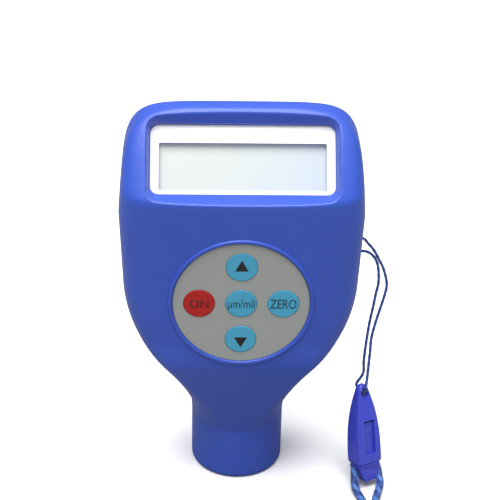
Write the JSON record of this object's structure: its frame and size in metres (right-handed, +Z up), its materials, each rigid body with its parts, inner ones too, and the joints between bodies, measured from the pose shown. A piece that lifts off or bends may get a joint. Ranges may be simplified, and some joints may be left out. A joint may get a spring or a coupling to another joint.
{
  "type": "coating thickness gauge",
  "caption": "Hand-held coating thickness gauge: shouldered blue case on a round probe neck, sloping display, round grey keypad, and a wrist strap with a release clip.",
  "frame": {"origin": "The probe axis in the plane of the measuring rim, which is the surface that the gauge stands on.", "axes": "+Z runs up the probe neck to the head, the display and keypad face -Y, and +X is to the right seen from the front."},
  "size_m": [0.0673, 0.0715, 0.1012],
  "materials": {
    "case_blue": "fine satin moulding",
    "steel": "plain steel",
    "lens": "clear acrylic",
    "border_white": "white print",
    "lcd": "pale polariser",
    "holder_white": "white moulding",
    "strip_rubber": "conductive rubber",
    "board_green": "solder mask",
    "overlay_grey": "fine-textured film",
    "spacer_film": "plain film",
    "circuit_film": "amber film",
    "key_red": "fine-textured film",
    "key_blue": "fine-textured film",
    "chip_black": "moulded epoxy",
    "connector_cream": "plain moulding",
    "cell_grey": "plain sleeve",
    "bush_black": "plain moulding",
    "bobbin_cream": "plain moulding",
    "copper": "enamelled wire",
    "core_iron": "ground",
    "lead_black": "plain sleeve",
    "loop_blue": "thin twisted cord",
    "clip_blue": "smooth moulding",
    "braid_blue": "round braid"
  },
  "bodies": {
    "gauge": {"front_case": "case_blue", "rear_case": "case_blue", "case_screws": "steel", "display_lens": "lens", "display_border": "border_white", "lcd_panel": "lcd", "lcd_holder": "holder_white", "contact_strips": "strip_rubber", "display_board": "board_green", "keypad_overlay": "overlay_grey", "keypad_spacer": "spacer_film", "snap_domes": "steel", "keypad_circuit": "circuit_film", "keypad_tail": "circuit_film", "main_board": "board_green", "processor": "chip_black", "amplifier": "chip_black", "buzzer": "chip_black", "probe_connector": "connector_cream", "board_screws": "steel", "battery_left": "cell_grey", "battery_right": "cell_grey", "contact_springs": "steel", "contact_plates": "steel", "probe_bush": "bush_black", "probe_spring": "steel", "spring_seat": "bush_black", "probe_lead": "lead_black", "strap_loop": "loop_blue", "clip_lower": "clip_blue", "wrist_cord": "braid_blue", "wrist_coil": "braid_blue"},
    "door": {"battery_door": "case_blue"},
    "on_button": {"key_on": "key_red"},
    "zero_button": {"key_zero": "key_blue"},
    "units_button": {"key_units": "key_blue"},
    "up_button": {"key_up": "key_blue"},
    "down_button": {"key_down": "key_blue"},
    "probe": {"probe_sleeve": "steel", "probe_bobbin": "bobbin_cream", "probe_winding": "copper", "probe_core": "core_iron"},
    "clip_socket": {"clip_upper": "clip_blue"}
  },
  "joints": [
    {"name": "press_on", "type": "slide", "parent": "gauge", "child": "on_button", "axis": [0, 1, 0], "range_m": [0, 0.0003], "stiffness_N_per_m": 800},
    {"name": "press_zero", "type": "slide", "parent": "gauge", "child": "zero_button", "axis": [0, 1, 0], "range_m": [0, 0.0003], "stiffness_N_per_m": 800},
    {"name": "press_units", "type": "slide", "parent": "gauge", "child": "units_button", "axis": [0, 1, 0], "range_m": [0, 0.0003], "stiffness_N_per_m": 800},
    {"name": "press_up", "type": "slide", "parent": "gauge", "child": "up_button", "axis": [0, 1, 0], "range_m": [0, 0.0003], "stiffness_N_per_m": 800},
    {"name": "press_down", "type": "slide", "parent": "gauge", "child": "down_button", "axis": [0, 1, 0], "range_m": [0, 0.0003], "stiffness_N_per_m": 800},
    {"name": "probe_press", "type": "slide", "parent": "gauge", "child": "probe", "axis": [0, 0, 1], "range_m": [0, 0.003], "stiffness_N_per_m": 400, "springref_m": -0.004, "deforming": ["probe_spring"]},
    {"name": "door_slide", "type": "slide", "parent": "gauge", "child": "door", "axis": [0, 0, 1], "range_m": [0, 0.06]},
    {"name": "clip_release", "type": "slide", "parent": "gauge", "child": "clip_socket", "axis": [-0.0724, 0.2588, 0.9632], "range_m": [0, 0.0115], "deforming": ["strap_loop"]}
  ]
}
